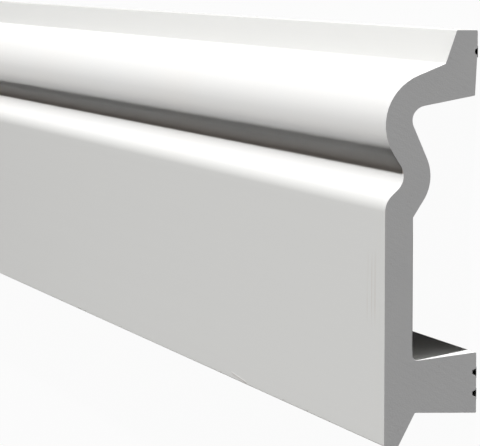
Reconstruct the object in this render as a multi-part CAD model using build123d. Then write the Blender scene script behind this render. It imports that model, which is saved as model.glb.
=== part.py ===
from build123d import *
import math
import os

# A length of ogee skirting board, lying on its back with the show face up.
# X runs along the board, +Y points to its top edge and +Z out of the wall, with the wall plane at z = 0.

# Whole board, in millimetres
board_length = 2000.0
board_height = 139.0
board_depth = 31.0  # wall plane to the flat show face
edge_radius = 0.4  # every outer edge leaves the die slightly rounded

# Top edge and the steep band under it
top_land = 7.0
band_angle = 18.6  # from upright
crease_radius = 0.5

# The bulge at the head of the ogee
slope_angle = 23.0  # slope above the bulge, from level
bulge_radius = 18.3
bulge_drop = 31.9  # from the top edge down to the foremost line of the bulge
bulge_setback = 0.1  # behind the flat show face
undercut_angle = 32.0  # from upright, falling back under the bulge

# The cove below the bulge and the shoulder that runs into the flat face
cove_radius = 6.3
cove_depth = 6.2
lip_angle = 45.0
shoulder_radius = 8.0

# Walls behind the ogee and behind the flat face
ogee_wall = 9.1
web_wall = 9.5
rear_slope_angle = 31.5  # from upright
inner_cove_radius = 5.0
inner_cove_drop = 30.2  # from the top edge down to the deepest line of the inner cove
inner_edge_radius = 0.8

# Block behind the top edge, which meets the wall
block_underside_angle = 11.5  # from level
pad_land = 6.0  # flat strip that touches the wall
pad_relief_angle = 3.0  # the rest of the block leans away from the wall

# Foot that glues to the wall near the floor
toe_width = 4.8  # bottom edge that stands on the floor
heel_angle = 26.4  # from upright, behind the toe
foot_gap = 11.3  # floor to the underside of the foot
foot_height = 20.3
foot_top_angle = 8.0  # falls towards the web, from level
channel_radius = 1.6

# Key grooves for the adhesive
groove_mouth = 2.6
groove_bottom = 1.2
foot_groove_depth = 1.3
foot_groove_rise = 10.0  # foot's underside up to midway between its two grooves
foot_groove_pitch = 7.1
pad_groove_depth = 0.9
pad_groove_drop = 7.2  # top edge down to the middle of the block's groove


def normal_at(angle):
    """Unit vector in the section, with 0 degrees pointing up the board and 90 out of the wall."""
    return Vector(math.cos(math.radians(angle)), math.sin(math.radians(angle)))


def crossing(face_a, face_b):
    """Point where two flat faces of the section meet, each given by its outward angle and a point."""
    angle_a, point_a = face_a
    angle_b, point_b = face_b
    normal_a = normal_at(angle_a)
    normal_b = normal_at(angle_b)
    reach_a = normal_a.dot(point_a)
    reach_b = normal_b.dot(point_b)
    spread = math.sin(math.radians(angle_b - angle_a))
    up = (reach_a * normal_b.Y - reach_b * normal_a.Y) / spread
    out = (reach_b * normal_a.X - reach_a * normal_b.X) / spread
    return Vector(up, out)


def face_on_arc(centre, radius, angle):
    """Flat face that touches a round at the given angle; a negative radius is a hollow."""
    return angle, centre + normal_at(angle) * radius


def arc_centres():
    """Centres of the bulge, the cove, the shoulder and the inner cove, as (height, depth)."""
    bulge_face = board_depth - bulge_setback
    bulge = Vector(board_height - bulge_drop, bulge_face - bulge_radius)
    # the undercut leaves the bulge and runs into the cove, which fixes how far apart they lie
    cove_out = board_depth - cove_depth + cove_radius
    undercut = normal_at(90 + undercut_angle)
    reach = undercut.dot(bulge) + bulge_radius + cove_radius
    cove = Vector((reach - undercut.Y * cove_out) / undercut.X, cove_out)
    # the lip leaves the cove and runs into the shoulder
    lip = normal_at(lip_angle)
    shoulder_out = board_depth - shoulder_radius
    reach = lip.dot(cove) - cove_radius - shoulder_radius
    shoulder = Vector((reach - lip.Y * shoulder_out) / lip.X, shoulder_out)
    inner_out = bulge_face - ogee_wall - inner_cove_radius
    inner = Vector(board_height - inner_cove_drop, inner_out)
    return bulge, cove, shoulder, inner


def section_faces():
    """Flat faces in order round the section: outward angle, a point, radius of the corner that follows."""
    bulge, cove, shoulder, inner = arc_centres()
    rear_radius = cove_radius + ogee_wall
    # the rear of the undercut touches the round behind the cove and the hollow behind the bulge
    span = inner - cove
    span_angle = math.degrees(math.atan2(span.Y, span.X))
    rear_undercut = span_angle - math.degrees(math.acos((rear_radius + inner_cove_radius) / span.length))
    web_rear = board_depth - web_wall
    foot_top = foot_gap + foot_height
    top = Vector(board_height, 0)
    return [
        (0, top, edge_radius),
        (90 - band_angle, Vector(board_height, top_land), crease_radius),
        (*face_on_arc(bulge, bulge_radius, slope_angle), bulge_radius),
        (*face_on_arc(bulge, bulge_radius, 90 + undercut_angle), cove_radius),
        (*face_on_arc(shoulder, shoulder_radius, lip_angle), shoulder_radius),
        (90, Vector(0, board_depth), edge_radius),
        (180, Vector(0, board_depth), edge_radius),
        (270 - heel_angle, Vector(0, board_depth - toe_width), edge_radius),
        (180, Vector(foot_gap, 0), edge_radius),
        (270, Vector(foot_gap, 0), edge_radius),
        (foot_top_angle, Vector(foot_top, 0), channel_radius),
        (270, Vector(foot_top, web_rear), inner_edge_radius),
        (*face_on_arc(cove, rear_radius, 270 - rear_slope_angle), rear_radius),
        (*face_on_arc(cove, rear_radius, rear_undercut), inner_cove_radius),
        (*face_on_arc(inner, -inner_cove_radius, 180 + block_underside_angle), edge_radius),
        (270 - pad_relief_angle, Vector(board_height - pad_land, 0), 0),
        (270, top, edge_radius),
    ]


def board_outline():
    """Closed outline of the section, each corner rounded where two faces meet."""
    faces = section_faces()
    corners = []
    radii = []
    for index, (angle, point, radius) in enumerate(faces):
        next_angle, next_point, next_radius = faces[(index + 1) % len(faces)]
        corners.append(crossing((angle, point), (next_angle, next_point)))
        radii.append(radius)
    return make_face(FilletPolyline(*corners, radius=radii, close=True))


def key_groove(height, depth):
    """Shallow trapezium cut into a face that touches the wall, centred at the given height."""
    half_mouth = groove_mouth / 2
    half_bottom = groove_bottom / 2
    corners = [
        (height - half_mouth, 0),
        (height - half_bottom, depth),
        (height + half_bottom, depth),
        (height + half_mouth, 0),
    ]
    # the mouth is carried past the wall plane so that the cut leaves no skin
    mouth = [(height + half_mouth, -depth), (height - half_mouth, -depth)]
    return make_face(Polyline(*corners, *mouth, close=True))


def board_section():
    """Section of the board: the outline less its key grooves."""
    foot_groove = foot_gap + foot_groove_rise
    section = board_outline()
    for offset in (-foot_groove_pitch / 2, foot_groove_pitch / 2):
        section -= key_groove(foot_groove + offset, foot_groove_depth)
    section -= key_groove(board_height - pad_groove_drop, pad_groove_depth)
    return section


def skirting_board():
    """The section drawn at one end and extruded along the board."""
    end_plane = Plane(origin=(-board_length / 2, 0, 0), x_dir=(0, 1, 0), z_dir=(1, 0, 0))
    centred = Pos(0, -board_height / 2, 0)
    return centred * extrude(end_plane * board_section(), board_length)


os.makedirs("parts", exist_ok=True)
export_step(skirting_board(), "parts/skirting_board.step")
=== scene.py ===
import math

import bpy
from mathutils import Matrix, Vector, noise


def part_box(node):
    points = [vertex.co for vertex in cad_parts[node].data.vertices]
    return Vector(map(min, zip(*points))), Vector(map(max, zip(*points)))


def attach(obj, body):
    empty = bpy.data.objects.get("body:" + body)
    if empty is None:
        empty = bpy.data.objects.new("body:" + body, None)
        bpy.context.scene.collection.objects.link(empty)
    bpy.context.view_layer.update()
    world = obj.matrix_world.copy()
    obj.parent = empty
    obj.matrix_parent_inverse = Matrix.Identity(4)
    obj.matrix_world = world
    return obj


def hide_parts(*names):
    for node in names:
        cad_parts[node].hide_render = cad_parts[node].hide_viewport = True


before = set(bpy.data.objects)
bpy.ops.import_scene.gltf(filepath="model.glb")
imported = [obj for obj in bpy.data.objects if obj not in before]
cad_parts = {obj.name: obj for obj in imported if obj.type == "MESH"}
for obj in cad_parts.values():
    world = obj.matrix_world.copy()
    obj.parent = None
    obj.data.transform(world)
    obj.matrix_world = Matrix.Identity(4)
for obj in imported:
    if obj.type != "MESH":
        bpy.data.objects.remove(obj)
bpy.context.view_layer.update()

# White ogee skirting board, lying on its back: x along it, y to its top edge, z out of the wall.
# The dictionaries hold millimetres and degrees, except where a comment gives another unit.
mm = 0.001
lowCorner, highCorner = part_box("skirting_board")


def linear(hexColour):
    # sRGB hex to the linear colour that the shaders take
    channels = [int(hexColour[i:i + 2], 16) / 255 for i in (1, 3, 5)]
    return [c / 12.92 if c <= 0.04045 else ((c + 0.055) / 1.055) ** 2.4 for c in channels] + [1.0]


def addNode(tree, kind, settings={}, inputs={}):
    # one node, its settings, and its inputs given as values or as sockets to link from
    node = tree.nodes.new(kind)
    for name, value in settings.items():
        setattr(node, name, value)
    for name, value in inputs.items():
        if isinstance(value, bpy.types.NodeSocket):
            tree.links.new(value, node.inputs[name])
        else:
            node.inputs[name].default_value = value
    return node


def newMaterial(name):
    # empty node tree with its output
    material = bpy.data.materials.new(name)
    material.use_nodes = True
    material.node_tree.nodes.clear()
    return material, material.node_tree, material.node_tree.nodes.new("ShaderNodeOutputMaterial")


# Section of the board, with the height up the board and the depth out of the wall
section = {
    "height": 139.0, "depth": 31.0, "edgeRadius": 0.4,
    "topLand": 7.0, "bandAngle": 18.6, "creaseRadius": 0.5,
    "slopeAngle": 23.0, "bulgeRadius": 18.3, "bulgeDrop": 31.9, "bulgeSetback": 0.1, "undercutAngle": 32.0,
    "coveRadius": 6.3, "coveDepth": 6.2, "lipAngle": 45.0, "shoulderRadius": 8.0,
    "ogeeWall": 9.1, "webWall": 9.5, "rearSlopeAngle": 31.5,
    "innerCoveRadius": 5.0, "innerCoveDrop": 30.2, "innerEdgeRadius": 0.8,
    "blockUndersideAngle": 11.5, "padLand": 6.0, "padReliefAngle": 3.0,
    "toeWidth": 4.8, "heelAngle": 26.4, "footGap": 11.3, "footHeight": 20.3, "footTopAngle": 8.0,
    "channelRadius": 1.6, "grooveMouth": 2.6, "grooveBottom": 1.2,
    "footGrooveDepth": 1.3, "footGrooveRise": 10.0, "footGroovePitch": 7.1,
    "padGrooveDepth": 0.9, "padGrooveDrop": 7.2,
}


def direction(angle):
    # 0 degrees points up the board and 90 out of the wall
    return Vector((math.cos(math.radians(angle)), math.sin(math.radians(angle))))


def crossing(angleA, pointA, angleB, pointB):
    # where two flat faces meet, each given by its outward angle and a point on it
    a, b = direction(angleA), direction(angleB)
    reachA, reachB = a.dot(pointA), b.dot(pointB)
    spread = math.sin(math.radians(angleB - angleA))
    return Vector((reachA * b.y - reachB * a.y, reachB * a.x - reachA * b.x)) / spread


def grooveHeights(s):
    # middle of each key groove: two in the foot and one in the block
    middle = s["footGap"] + s["footGrooveRise"]
    half = s["footGroovePitch"] / 2
    return [middle - half, middle + half, s["height"] - s["padGrooveDrop"]]


def grooveFaces(s, height, depth):
    # the two flanks and the bottom of a key groove, going up the board
    flank = math.degrees(math.atan2((s["grooveMouth"] - s["grooveBottom"]) / 2, depth))
    half = s["grooveMouth"] / 2
    return [
        (360 - flank, Vector((height - half, 0)), 0),
        (270, Vector((height, depth)), 0),
        (180 + flank, Vector((height + half, 0)), 0),
    ]


def sectionFaces(s):
    # flat faces round the section: outward angle, a point, and the radius of the corner that follows
    bulgeFace = s["depth"] - s["bulgeSetback"]
    bulge = Vector((s["height"] - s["bulgeDrop"], bulgeFace - s["bulgeRadius"]))
    undercut, lip = direction(90 + s["undercutAngle"]), direction(s["lipAngle"])
    coveOut = s["depth"] - s["coveDepth"] + s["coveRadius"]
    reach = undercut.dot(bulge) + s["bulgeRadius"] + s["coveRadius"]
    cove = Vector(((reach - undercut.y * coveOut) / undercut.x, coveOut))
    shoulderOut = s["depth"] - s["shoulderRadius"]
    reach = lip.dot(cove) - s["coveRadius"] - s["shoulderRadius"]
    shoulder = Vector(((reach - lip.y * shoulderOut) / lip.x, shoulderOut))
    inner = Vector((s["height"] - s["innerCoveDrop"], bulgeFace - s["ogeeWall"] - s["innerCoveRadius"]))
    rearRadius = s["coveRadius"] + s["ogeeWall"]
    span = inner - cove
    rearUndercut = math.degrees(math.atan2(span.y, span.x))
    rearUndercut -= math.degrees(math.acos((rearRadius + s["innerCoveRadius"]) / span.length))
    lowGroove, midGroove, padGroove = grooveHeights(s)
    edge, top, wall = s["edgeRadius"], Vector((s["height"], 0)), Vector((0, 0))
    underside = 180 + s["blockUndersideAngle"]
    padFoot = Vector((s["height"] - s["padLand"], 0))
    return [
        (0, top, edge),
        (90 - s["bandAngle"], Vector((s["height"], s["topLand"])), s["creaseRadius"]),
        (s["slopeAngle"], bulge + direction(s["slopeAngle"]) * s["bulgeRadius"], s["bulgeRadius"]),
        (90 + s["undercutAngle"], bulge + undercut * s["bulgeRadius"], s["coveRadius"]),
        (s["lipAngle"], shoulder + lip * s["shoulderRadius"], s["shoulderRadius"]),
        (90, Vector((0, s["depth"])), edge),
        (180, Vector((0, s["depth"])), edge),
        (270 - s["heelAngle"], Vector((0, s["depth"] - s["toeWidth"])), edge),
        (180, Vector((s["footGap"], 0)), edge),
        (270, wall, 0), *grooveFaces(s, lowGroove, s["footGrooveDepth"]),
        (270, wall, 0), *grooveFaces(s, midGroove, s["footGrooveDepth"]),
        (270, wall, edge),
        (s["footTopAngle"], Vector((s["footGap"] + s["footHeight"], 0)), s["channelRadius"]),
        (270, Vector((0, s["depth"] - s["webWall"])), s["innerEdgeRadius"]),
        (270 - s["rearSlopeAngle"], cove + direction(270 - s["rearSlopeAngle"]) * rearRadius, rearRadius),
        (rearUndercut, cove + direction(rearUndercut) * rearRadius, s["innerCoveRadius"]),
        (underside, inner - direction(underside) * s["innerCoveRadius"], edge),
        (270 - s["padReliefAngle"], padFoot, 0), *grooveFaces(s, padGroove, s["padGrooveDepth"]),
        (270, top, edge),
    ]


def sectionLoop(s):
    # closed loop of edges in one plane, with the radius of each corner as an attribute
    faces = sectionFaces(s)
    mesh = bpy.data.meshes.new("sectionLoop")
    corners = [crossing(faces[i - 1][0], faces[i - 1][1], face[0], face[1]) for i, face in enumerate(faces)]
    middle = s["height"] / 2
    points = [((middle - c.x) * mm, -c.y * mm, 0) for c in corners]  # the sweep turns the loop half round
    edges = [(i, (i + 1) % len(points)) for i in range(len(points))]
    mesh.from_pydata(points, edges, [])
    radius = mesh.attributes.new("cornerRadius", "FLOAT", "POINT")
    radius.data.foreach_set("value", [faces[i - 1][2] * mm for i in range(len(faces))])
    return mesh


# The extrusion itself, as Geometry Nodes
sweep = {
    "length": 2000.0, "cornerSteps": 14, "widestStrip": 2.0, "bay": 50.0,
    "rim": 0.3,  # length of the last bay at each end, where the saw broke the edge
    "creaseAngle": 0.5,  # an edge that turns further is drawn sharp, in radians
    "endFacing": 0.9,  # a face belongs to an end where its normal points along the board by this share
    "endTolerance": 0.01,
    "brokenEdge": 0.05, "brokenEdgeWave": 0.02,  # how far the edge is drawn in, and how unevenly
    "brokenEdgeWaves": 300.0,  # uneven spots to a metre
}


def sweepTree():
    # rounds the section's corners, divides its flats and sweeps it along the board
    tree = bpy.data.node_groups.new("sweepSection", "GeometryNodeTree")
    for name, kind in (("Section", "NodeSocketGeometry"), ("Length", "NodeSocketFloat"),
                       ("Corner steps", "NodeSocketInt"), ("Widest strip", "NodeSocketFloat"),
                       ("Bay", "NodeSocketFloat"), ("Rim", "NodeSocketFloat"),
                       ("Skin", "NodeSocketMaterial"), ("Sawn", "NodeSocketMaterial")):
        tree.interface.new_socket(name=name, in_out="INPUT", socket_type=kind)
    tree.interface.new_socket(name="Board", in_out="OUTPUT", socket_type="NodeSocketGeometry")
    given = tree.nodes.new("NodeGroupInput").outputs
    loop = addNode(tree, "GeometryNodeMeshToCurve", {}, {"Mesh": given["Section"]})
    radius = addNode(tree, "GeometryNodeInputNamedAttribute", {"data_type": "FLOAT"},
                     {"Name": "cornerRadius"})
    rounded = addNode(tree, "GeometryNodeFilletCurve", {"mode": "POLY"},
                      {"Curve": loop.outputs[0], "Radius": radius.outputs["Attribute"],
                       "Count": given["Corner steps"]})
    # a strip no wider than asked, counted from the distance to the next point
    here = tree.nodes.new("GeometryNodeInputPosition")
    after = addNode(tree, "GeometryNodeOffsetPointInCurve", {}, {"Offset": 1})
    there = addNode(tree, "GeometryNodeFieldAtIndex", {"data_type": "FLOAT_VECTOR", "domain": "POINT"},
                    {"Index": after.outputs["Point Index"], "Value": here.outputs[0]})
    gap = addNode(tree, "ShaderNodeVectorMath", {"operation": "DISTANCE"},
                  {0: here.outputs[0], 1: there.outputs[0]})
    cuts = addNode(tree, "ShaderNodeMath", {"operation": "DIVIDE"},
                   {0: gap.outputs["Value"], 1: given["Widest strip"]})
    divided = addNode(tree, "GeometryNodeSubdivideCurve", {},
                      {"Curve": rounded.outputs[0], "Cuts": cuts.outputs[0]})
    # the path: bays between two rims, each rim one short bay of its own
    half = addNode(tree, "ShaderNodeMath", {"operation": "MULTIPLY"}, {0: given["Length"], 1: 0.5})
    inner = addNode(tree, "ShaderNodeMath", {"operation": "SUBTRACT"}, {0: half.outputs[0], 1: given["Rim"]})
    back = addNode(tree, "ShaderNodeMath", {"operation": "MULTIPLY"}, {0: inner.outputs[0], 1: -1.0})
    start = addNode(tree, "ShaderNodeCombineXYZ", {}, {"X": back.outputs[0]})
    end = addNode(tree, "ShaderNodeCombineXYZ", {}, {"X": inner.outputs[0]})
    line = addNode(tree, "GeometryNodeCurvePrimitiveLine", {},
                   {"Start": start.outputs[0], "End": end.outputs[0]})
    bays = addNode(tree, "GeometryNodeResampleCurve", {"mode": "LENGTH"},
                   {"Curve": line.outputs[0], "Length": given["Bay"]})
    swept = addNode(tree, "GeometryNodeCurveToMesh", {},
                    {"Curve": bays.outputs[0], "Profile Curve": divided.outputs[0], "Fill Caps": True})
    # each cap is drawn out by the rim
    normal = tree.nodes.new("GeometryNodeInputNormal")
    along = addNode(tree, "ShaderNodeSeparateXYZ", {}, {0: normal.outputs[0]})
    size = addNode(tree, "ShaderNodeMath", {"operation": "ABSOLUTE"}, {0: along.outputs["X"]})
    isEnd = addNode(tree, "ShaderNodeMath", {"operation": "GREATER_THAN"},
                    {0: size.outputs[0], 1: sweep["endFacing"]})
    rims = addNode(tree, "GeometryNodeExtrudeMesh", {"mode": "FACES"},
                   {"Mesh": swept.outputs[0], "Selection": isEnd.outputs[0], "Offset Scale": given["Rim"],
                    "Individual": False})
    smooth = addNode(tree, "GeometryNodeSetShadeSmooth", {"domain": "FACE"}, {0: rims.outputs["Mesh"]})
    angle = tree.nodes.new("GeometryNodeInputMeshEdgeAngle")
    sharp = addNode(tree, "ShaderNodeMath", {"operation": "GREATER_THAN"},
                    {0: angle.outputs[0], 1: sweep["creaseAngle"]})
    creased = addNode(tree, "GeometryNodeSetShadeSmooth", {"domain": "EDGE"},
                      {0: smooth.outputs[0], "Selection": sharp.outputs[0], "Shade Smooth": False})
    real = addNode(tree, "GeometryNodeRealizeInstances", {}, {"Geometry": creased.outputs[0]})
    skinned = addNode(tree, "GeometryNodeSetMaterial", {},
                      {"Geometry": real.outputs[0], "Material": given["Skin"]})
    sawn = addNode(tree, "GeometryNodeSetMaterial", {},
                   {"Geometry": skinned.outputs[0], "Selection": isEnd.outputs[0],
                    "Material": given["Sawn"]})
    addNode(tree, "NodeGroupOutput", {}, {"Board": sawn.outputs[0]})
    return tree


def breakEdges(mesh):
    # draws the outline of each sawn end in a little, unevenly, as a saw leaves the arris
    end = (sweep["length"] / 2 - sweep["endTolerance"]) * mm
    for face in mesh.polygons:
        if abs(face.normal.x) < sweep["endFacing"] or abs(face.center.x) < end:
            continue
        ring = [mesh.vertices[i] for i in face.vertices]
        places = [v.co.copy() for v in ring]
        for i, vertex in enumerate(ring):
            ahead, behind = places[(i + 1) % len(ring)], places[i - 1]
            inward = face.normal.cross(ahead - behind).normalized()
            wave = noise.noise(places[i] * sweep["brokenEdgeWaves"])
            vertex.co += inward * (sweep["brokenEdge"] + sweep["brokenEdgeWave"] * wave) * mm


def makeBoard(skin, sawn):
    # the visible board: the swept section as a plain mesh with its faces outwards
    source = bpy.data.objects.new("sectionSource", sectionLoop(section))
    bpy.context.scene.collection.objects.link(source)
    modifier = source.modifiers.new("sweep", "NODES")
    modifier.node_group = sweepTree()
    values = {"Length": sweep["length"] * mm, "Corner steps": sweep["cornerSteps"],
              "Widest strip": sweep["widestStrip"] * mm, "Bay": sweep["bay"] * mm, "Rim": sweep["rim"] * mm,
              "Skin": skin, "Sawn": sawn}
    for item in modifier.node_group.interface.items_tree:
        if item.in_out == "INPUT" and item.name in values:
            modifier[item.identifier] = values[item.name]
    evaluated = source.evaluated_get(bpy.context.evaluated_depsgraph_get())
    mesh = bpy.data.meshes.new_from_object(evaluated)
    bpy.data.objects.remove(source)
    breakEdges(mesh)
    board = bpy.data.objects.new("skirtingBoard", mesh)
    bpy.context.scene.collection.objects.link(board)
    print("board:", len(mesh.vertices), "points,", len(mesh.polygons), "faces")
    return board


def objectPattern(tree, sizes, detail=2.0):
    # soft noise on the board's own coordinates, with waves of these sizes along x, y and z
    place = tree.nodes.new("ShaderNodeTexCoord").outputs["Object"]
    waves = [1 / (size * mm) for size in sizes]
    spread = addNode(tree, "ShaderNodeMapping", {}, {"Vector": place, "Scale": waves})
    return addNode(tree, "ShaderNodeTexNoise", {}, {"Vector": spread.outputs[0], "Scale": 1.0,
                                                    "Detail": detail, "Roughness": 0.5}).outputs[0]


def between(tree, value, low, high, lowResult=0.0, highResult=1.0):
    # carries a value from one range to another and stops at its ends
    return addNode(tree, "ShaderNodeMapRange", {}, {"Value": value, "From Min": low, "From Max": high,
                                                    "To Min": lowResult, "To Max": highResult}).outputs[0]


def combine(tree, operation, *values):
    # one operation carried over several values, such as their sum or product
    total = values[0]
    for value in values[1:]:
        total = addNode(tree, "ShaderNodeMath", {"operation": operation}, {0: total, 1: value}).outputs[0]
    return total


def withoutSign(tree, value):
    return addNode(tree, "ShaderNodeMath", {"operation": "ABSOLUTE"}, {0: value}).outputs[0]


def boardPlace(tree):
    # where a point lies, in metres: along the board from its middle, up from its bottom edge, and
    # out of the wall
    place = tree.nodes.new("ShaderNodeTexCoord").outputs["Object"]
    axes = addNode(tree, "ShaderNodeSeparateXYZ", {}, {0: place}).outputs
    return axes["X"], combine(tree, "ADD", axes["Y"], section["height"] / 2 * mm), axes["Z"]


def within(tree, place, low, high, lowFade, highFade):
    # 1 on a stretch of one coordinate, fading to 0 towards each end over a length of its own
    return combine(tree, "MULTIPLY", between(tree, place, low * mm, (low + lowFade) * mm),
                   between(tree, place, high * mm, (high - highFade) * mm))


def behindFace(tree, out, gone, full):
    # 0 at one depth behind the flat show face and 1 at another
    return between(tree, out, (section["depth"] - gone) * mm, (section["depth"] - full) * mm)


def blendColours(tree, share, first, second):
    # from the first colour at a share of 0 to the second at 1
    mixed = addNode(tree, "ShaderNodeMix", {"data_type": "RGBA"}, {"Factor": share})
    for socket, colour in ((mixed.inputs[6], first), (mixed.inputs[7], second)):
        if isinstance(colour, bpy.types.NodeSocket):
            tree.links.new(colour, socket)
        else:
            socket.default_value = colour
    return mixed.outputs[2]


# Finish of the show face and of every face that the die drew. A pair named Behind says how far behind
# the flat face a tone or mark is gone and is full, and a pair named Noise says the same of its noise
skinLook = {
    "colour": "#EAEBEB", "warmColour": "#ECEAE7", "driftLength": 220.0,  # slow drift of the white
    "flatShadeColour": "#DDDDDB",  # painted shade: the flat face and the band are drawn a shade darker than the ogee
    "flatTop": 78.0, "flatBlend": 6.0, "flatBehind": (2.0, 1.0), "bandFoot": 127.7, "bandBlend": 0.6,
    "coveShadeColour": "#A39B94",  # painted shade in the upper part of the cove, where the undercut runs into it; heights up the board
    "coveShadeLow": 90.7, "coveShadeHigh": 96.8, "coveShadeLowFade": 0.6, "coveShadeHighFade": 4.9, "coveShadeBehind": (11.0, 9.0),
    "roughness": 0.7, "roughnessSpread": 0.10, "roughnessNoise": (0.3, 0.7), "specular": 0.02, "chalk": 0.5,
    "drawWidth": 1.6, "drawLength": 900.0, "drawHeight": 0.010,  # lines that the die drew along the board
    "peelWidth": 2.4, "peelHeight": 0.006,  # faint orange peel; finer in life, drawn this coarse to show
    "scuffColour": "#D5D2CE", "scuffWidth": 2.2, "scuffLength": 45.0,  # marks of a fence; finer in life
    "scuffNear": 8.0, "scuffFar": 46.0, "scuffEndFade": 3.0,  # distances from the sawn end
    "scuffLow": 38.0, "scuffHigh": 66.0, "scuffLowFade": 8.0, "scuffHighFade": 4.0,
    "scuffBehind": (0.4, 0.2), "scuffNoise": (0.56, 0.66),
    "nickColour": "#B6B2AE", "nickLength": 14.0, "nickWidth": 2.0,  # knocks on the bottom edge
    "nickBand": 0.9, "nickDepth": 0.08, "nickBehind": (1.2, 0.6), "nickNoise": (0.64, 0.70),
    "scrapeFrom": (556.0, 2.5), "scrapeTo": (609.0, 1.0),  # one long scrape, drawn with a painted highlight and painted shade: place along the board, height
    "scrapeFromFade": 8.0, "scrapeToFade": 5.0, "scrapeWidth": 0.35, "scrapeReach": 1.4,
    # the scrape's painted highlight and painted shade
    "scrapeHighlightColour": "#F4F3F1", "scrapeShadeColour": "#CDCAC7",
}


def flatShadeShare(tree, look):
    # painted shade on the flat face below the shoulder and on the band at the top, without the ogee between
    # them
    _, up, out = boardPlace(tree)
    below = between(tree, up, (look["flatTop"] + look["flatBlend"]) * mm, look["flatTop"] * mm)
    band = between(tree, up, look["bandFoot"] * mm, (look["bandFoot"] + look["bandBlend"]) * mm)
    front = behindFace(tree, out, *look["flatBehind"])
    return combine(tree, "ADD", combine(tree, "MULTIPLY", below, front), band)


def coveShade(tree, look):
    # painted shade: a thin dark line in the upper part of the cove, where the undercut runs into it
    _, up, out = boardPlace(tree)
    line = within(tree, up, look["coveShadeLow"], look["coveShadeHigh"], look["coveShadeLowFade"], look["coveShadeHighFade"])
    return combine(tree, "MULTIPLY", line, behindFace(tree, out, *look["coveShadeBehind"]))


def endScuffs(tree, look):
    # thin upright marks half way up the flat face near each sawn end
    along, up, out = boardPlace(tree)
    half, fade = sweep["length"] / 2, look["scuffEndFade"]
    nearEnd = within(tree, withoutSign(tree, along), half - look["scuffFar"], half - look["scuffNear"],
                     fade, fade)
    midHeight = within(tree, up, look["scuffLow"], look["scuffHigh"],
                      look["scuffLowFade"], look["scuffHighFade"])
    noisy = objectPattern(tree, (look["scuffWidth"], look["scuffLength"], math.inf), 0.0)
    return combine(tree, "MULTIPLY", nearEnd, midHeight, behindFace(tree, out, *look["scuffBehind"]),
                   between(tree, noisy, *look["scuffNoise"]))


def edgeScrape(tree, look):
    # one long shallow scrape at the bottom edge, drawn as colour only: a painted highlight along its line,
    # and painted shade on the strip below it
    along, up, _ = boardPlace(tree)
    (fromX, fromHeight), (toX, toHeight) = look["scrapeFrom"], look["scrapeTo"]
    line = addNode(tree, "ShaderNodeMapRange", {"clamp": False},
                   {"Value": along, "From Min": fromX * mm, "From Max": toX * mm,
                    "To Min": fromHeight * mm, "To Max": toHeight * mm}).outputs[0]
    over = combine(tree, "SUBTRACT", up, line)
    inside = within(tree, along, fromX, toX, look["scrapeFromFade"], look["scrapeToFade"])
    width = look["scrapeWidth"]
    scrapeHighlight = between(tree, withoutSign(tree, over), width * mm, 0.0)
    scrapeShade = within(tree, over, -look["scrapeReach"], 0.0, look["scrapeReach"] - width, width)
    return combine(tree, "MULTIPLY", inside, scrapeHighlight), combine(tree, "MULTIPLY", inside, scrapeShade)


def edgeNicks(tree, look):
    # a few short knocks along the bottom edge of the show face
    _, up, out = boardPlace(tree)
    low = between(tree, up, look["nickBand"] * mm, 0.0)
    noisy = objectPattern(tree, (look["nickLength"], look["nickWidth"], look["nickWidth"]), 1.0)
    return combine(tree, "MULTIPLY", low, behindFace(tree, out, *look["nickBehind"]),
                   between(tree, noisy, *look["nickNoise"]))


def makeSkin(look):
    # co-extruded satin polymer skin: an even white that scatters like chalk, with a weak soft sheen, faint
    # lines along the extrusion, a slow drift of the white, painted shade in the cove and on the flat faces,
    # and marks of handling, one of them drawn with a painted highlight and painted shade
    material, tree, output = newMaterial("satinPolymerSkin")
    drift = objectPattern(tree, [look["driftLength"]] * 3)
    drawn = objectPattern(tree, (look["drawLength"], look["drawWidth"], look["drawWidth"]))
    peel = objectPattern(tree, [look["peelWidth"]] * 3)
    scrapeHighlight, scrapeShade = edgeScrape(tree, look)
    nicks = edgeNicks(tree, look)
    colour = blendColours(tree, drift, linear(look["colour"]), linear(look["warmColour"]))
    for share, name in ((flatShadeShare(tree, look), "flatShadeColour"), (coveShade(tree, look), "coveShadeColour"),
                        (endScuffs(tree, look), "scuffColour"), (scrapeShade, "scrapeShadeColour"),
                        (scrapeHighlight, "scrapeHighlightColour"), (nicks, "nickColour")):
        colour = blendColours(tree, share, colour, linear(look[name]))
    spread = look["roughnessSpread"] / 2
    rough = between(tree, drawn, *look["roughnessNoise"], look["roughness"] - spread,
                    look["roughness"] + spread)
    height = combine(tree, "ADD",
                     combine(tree, "MULTIPLY", drawn, look["drawHeight"] * mm),
                     combine(tree, "MULTIPLY", peel, look["peelHeight"] * mm),
                     combine(tree, "MULTIPLY", nicks, -look["nickDepth"] * mm))
    bump = addNode(tree, "ShaderNodeBump", {}, {"Strength": 1.0, "Distance": 1.0, "Height": height})
    shader = addNode(tree, "ShaderNodeBsdfPrincipled", {},
                     {"Base Color": colour, "Roughness": rough, "Specular IOR Level": look["specular"],
                      "Diffuse Roughness": look["chalk"], "Normal": bump.outputs[0]})
    tree.links.new(shader.outputs[0], output.inputs["Surface"])
    return material


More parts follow.
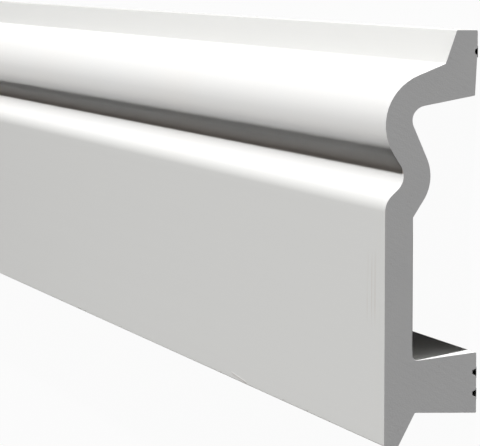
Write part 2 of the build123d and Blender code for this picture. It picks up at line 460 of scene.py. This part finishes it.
# Finish of the two ends
sawnLook = {
    # the grey of the ends is partly the foam's own tone and partly painted shade for ends turned from the
    # light
    "colour": "#C3C3C3", "greyColour": "#BFBFC0", "patchWidth": 16.0,
    "roughness": 0.85, "specular": 0.15, "chalk": 1.0,
    "cellWidth": 0.55, "cellHeight": 0.03,  # closed cells cut open; finer in life, drawn this coarse to show
    "sawPitch": 2.2, "sawHeight": 0.008, "sawSlant": 28.0, "sawWobble": 1.5,  # marks left by the teeth
    "poreColour": "#B8B7B7", "poreWidth": 2.6,
    "poreReach": (0.16, 0.08),  # share of the width at which a pore is gone and is full
    "poreNoise": (0.5, 0.62),
    "webEdgeShadeColour": "#6E6B68", "webEdgeShadeWidth": 0.35, "webEdgeShadeLength": 44.0,  # painted shade: a dark line above the foot
    "webEdgeShadeLowFade": 2.0, "webEdgeShadeHighFade": 6.0,
}


def webEdgeShade(tree, look):
    # painted shade: a dark line up the rear edge of the web, from the top of the foot
    _, up, out = boardPlace(tree)
    foot = section["footGap"] + section["footHeight"]
    edge = behindFace(tree, out, section["webWall"] - look["webEdgeShadeWidth"], section["webWall"])
    return combine(tree, "MULTIPLY", edge, within(tree, up, foot, foot + look["webEdgeShadeLength"],
                                                  look["webEdgeShadeLowFade"], look["webEdgeShadeHighFade"]))


def makeSawn(look):
    # closed-cell polymer foam cut by a fine saw: even and dull, a shade greyer than the skin, partly its own
    # tone and partly painted shade, with small open cells, faint slanting tooth marks and a dark line of
    # painted shade behind the web
    material, tree, output = newMaterial("sawnPolymerFoam")
    place = tree.nodes.new("ShaderNodeTexCoord").outputs["Object"]
    cells, pores = [addNode(tree, "ShaderNodeTexVoronoi", {}, {"Vector": place, "Scale": 1 / (size * mm)})
                    for size in (look["cellWidth"], look["poreWidth"])]
    patches = objectPattern(tree, [look["patchWidth"]] * 3)
    turned = addNode(tree, "ShaderNodeMapping", {},
                     {"Vector": place, "Rotation": (math.radians(look["sawSlant"]), 0, 0)})
    # a wave texture repeats every tenth of pi
    teeth = addNode(tree, "ShaderNodeTexWave", {"bands_direction": "Y"},
                    {"Vector": turned.outputs[0], "Scale": math.pi / 10 / (look["sawPitch"] * mm),
                     "Distortion": look["sawWobble"], "Detail": 1.0})
    opened = combine(tree, "MULTIPLY", between(tree, pores.outputs["Distance"], *look["poreReach"]),
                     between(tree, patches, *look["poreNoise"]))
    grey = blendColours(tree, patches, linear(look["colour"]), linear(look["greyColour"]))
    pored = blendColours(tree, opened, grey, linear(look["poreColour"]))
    rimmed = blendColours(tree, webEdgeShade(tree, look), pored, linear(look["webEdgeShadeColour"]))
    height = combine(tree, "ADD",
                     combine(tree, "MULTIPLY", cells.outputs["Distance"], look["cellHeight"] * mm),
                     combine(tree, "MULTIPLY", teeth.outputs["Fac"], look["sawHeight"] * mm))
    bump = addNode(tree, "ShaderNodeBump", {}, {"Strength": 1.0, "Distance": 1.0, "Height": height})
    shader = addNode(tree, "ShaderNodeBsdfPrincipled", {},
                     {"Base Color": rimmed, "Roughness": look["roughness"],
                      "Specular IOR Level": look["specular"], "Diffuse Roughness": look["chalk"],
                      "Normal": bump.outputs[0]})
    tree.links.new(shader.outputs[0], output.inputs["Surface"])
    return material


# Photograph's framing, in its own pixels, and the scale at the near end
photo = {
    "width": 480, "height": 446, "pixelsPerMm": 3.0,
    "lensPixels": 8000.0,  # a long lens, as the end shows nearly square on
    "vanishingPoint": (-695.5, -41.5),  # where the long edges meet
    "nearCorner": (383.9, 446.9),  # the show face's bottom corner at the near end
    "sensor": 36.0, "farLimit": 200.0,  # the far limit is in metres
}


def makeCamera(p):
    # turned so that the long edges run to their vanishing point, with the board's top edge up
    centreX, centreY, lens = p["width"] / 2, p["height"] / 2, p["lensPixels"]
    awayX = p["vanishingPoint"][0] - centreX
    awayY = centreY - p["vanishingPoint"][1]
    along = -Vector((awayX, awayY, -lens)).normalized()  # the board's x, seen from the camera
    up = Vector((0, 1, 0))
    up = (up - along * up.dot(along)).normalized()
    toWorld = Matrix((along, up, along.cross(up)))
    distance = lens / (p["pixelsPerMm"] / mm)
    cornerX, cornerY = p["nearCorner"]
    seen = Vector(((cornerX - centreX) / lens, (centreY - cornerY) / lens, -1)) * distance
    corner = Vector((highCorner.x, lowCorner.y, highCorner.z))
    data = bpy.data.cameras.new("photoCamera")
    data.sensor_width = p["sensor"]
    data.lens = p["sensor"] * lens / p["width"]
    data.clip_end = p["farLimit"]
    camera = bpy.data.objects.new("photoCamera", data)
    camera.matrix_world = Matrix.Translation(corner - toWorld @ seen) @ toWorld.to_4x4()
    bpy.context.scene.collection.objects.link(camera)
    bpy.context.scene.camera = camera
    print("camera at", [round(c, 3) for c in camera.matrix_world.translation])


# Floor and sky
studio = {
    "floorSize": 300.0,  # in metres
    "floorDrop": 0.1, "floorColour": "#A4A4A2",
    "floorWhite": 0.96,  # share of plain white that the floor shows to the eye; the rest keeps the shadow
    "skyColour": "#FFF0E0", "skyStrength": 0.01,
    "stripMargin": 0.6,  # how far the plain strips reach past a groove's mouth
}


def seenByEye(tree):
    # 1 for what the camera sees, straight or in gloss or through glass
    path = tree.nodes.new("ShaderNodeLightPath")
    return combine(tree, "MAXIMUM", path.outputs["Is Camera Ray"], path.outputs["Is Glossy Ray"],
                   path.outputs["Is Transmission Ray"])


def makeSheet(name, halfLength, low, high, z, material):
    # one flat sheet from one y to another, which belongs to the floor
    mesh = bpy.data.meshes.new(name)
    corners = [(-halfLength, low, z), (halfLength, low, z), (halfLength, high, z), (-halfLength, high, z)]
    mesh.from_pydata(corners, [], [(0, 1, 2, 3)])
    mesh.materials.append(material)
    sheet = bpy.data.objects.new(name, mesh)
    bpy.context.scene.collection.objects.link(sheet)


def makeFloor(s):
    # pale floor: mostly plain white to the eye, with a share of real shading that keeps the shadow
    pale, tree, output = newMaterial("paleFloor")
    white = addNode(tree, "ShaderNodeEmission", {}, {"Color": linear("#FFFFFF"), "Strength": 1.0})
    matt = addNode(tree, "ShaderNodeBsdfDiffuse", {}, {"Color": linear(s["floorColour"])})
    share = combine(tree, "MULTIPLY", seenByEye(tree), s["floorWhite"])
    mixed = addNode(tree, "ShaderNodeMixShader", {}, {0: share, 1: matt.outputs[0], 2: white.outputs[0]})
    tree.links.new(mixed.outputs[0], output.inputs["Surface"])
    half, z = s["floorSize"] / 2, -s["floorDrop"] * mm
    makeSheet("floor", half, -half, half, z, pale)
    # under each key groove the floor has no white of its own, so the closed groove stays as dark as it is
    plain, tree, output = newMaterial("plainFloor")
    matt = addNode(tree, "ShaderNodeBsdfDiffuse", {}, {"Color": linear(s["floorColour"])})
    tree.links.new(matt.outputs[0], output.inputs["Surface"])
    halfWidth = section["grooveMouth"] / 2 + s["stripMargin"]
    for number, height in enumerate(grooveHeights(section)):
        middle = height - section["height"] / 2
        makeSheet(f"grooveFloor{number}", sweep["length"] / 2 * mm, (middle - halfWidth) * mm,
                  (middle + halfWidth) * mm, z / 2, plain)


def makeSky(s):
    # white to the eye, and a weak even light for the board
    world = bpy.data.worlds.new("studioSky")
    world.use_nodes = True
    tree = world.node_tree
    tree.nodes.clear()
    light = addNode(tree, "ShaderNodeBackground", {},
                    {"Color": linear(s["skyColour"]), "Strength": s["skyStrength"]})
    white = addNode(tree, "ShaderNodeBackground", {}, {"Color": linear("#FFFFFF"), "Strength": 1.0})
    mixed = addNode(tree, "ShaderNodeMixShader", {},
                    {0: seenByEye(tree), 1: light.outputs[0], 2: white.outputs[0]})
    addNode(tree, "ShaderNodeOutputWorld", {}, {"Surface": mixed.outputs[0]})
    bpy.context.scene.world = world


# Far round lamps. A lamp's direction is given by its share towards the near end and by its tilt from
# straight up the board; its distance is in metres and its width is the angle that it fills
lamps = {
    "key": {"aside": 0.34, "tilt": 27.0, "distance": 9.0, "strength": 4.6, "width": 2.2,
            "colour": "#FFFFFF"},
    # gives the toe and the bottom edge their light
    "low": {"aside": 0.0, "tilt": 178.5, "distance": 13.0, "strength": 1.2, "width": 2.4,
            "colour": "#FFF8F0"},
    # gives the far end its light, which the photo's view doesn't show
    "far": {"aside": -1.0, "tilt": 90.0, "distance": 9.0, "strength": 1.6, "width": 0.4,
            "colour": "#FFF8F0"},
}


def makeLamp(name, s):
    # a round lamp that faces the near end and gives it the stated light, in watts to a square metre
    data = bpy.data.lights.new(name, "AREA")
    data.shape = "DISK"
    data.size = 2 * s["distance"] * math.tan(math.radians(s["width"] / 2))
    data.energy = s["strength"] * math.pi * s["distance"] ** 2
    data.color = linear(s["colour"])[:3]
    upBoard, outOfWall = direction(s["tilt"]) * math.sqrt(1 - s["aside"] ** 2)
    towards = Vector((s["aside"], upBoard, outOfWall))
    lamp = bpy.data.objects.new(name, data)
    lamp.location = Vector((highCorner.x, 0, 0)) + towards * s["distance"]
    lamp.rotation_mode = "QUATERNION"
    lamp.rotation_quaternion = towards.to_track_quat("Z", "Y")
    lamp.visible_camera = False
    bpy.context.scene.collection.objects.link(lamp)


board = makeBoard(makeSkin(skinLook), makeSawn(sawnLook))
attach(board, "root")
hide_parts("skirting_board")

makeCamera(photo)
makeFloor(studio)
makeSky(studio)
for name, values in lamps.items():
    makeLamp(name, values)
print("studio set")

bpy.context.scene.view_settings.view_transform = "Standard"
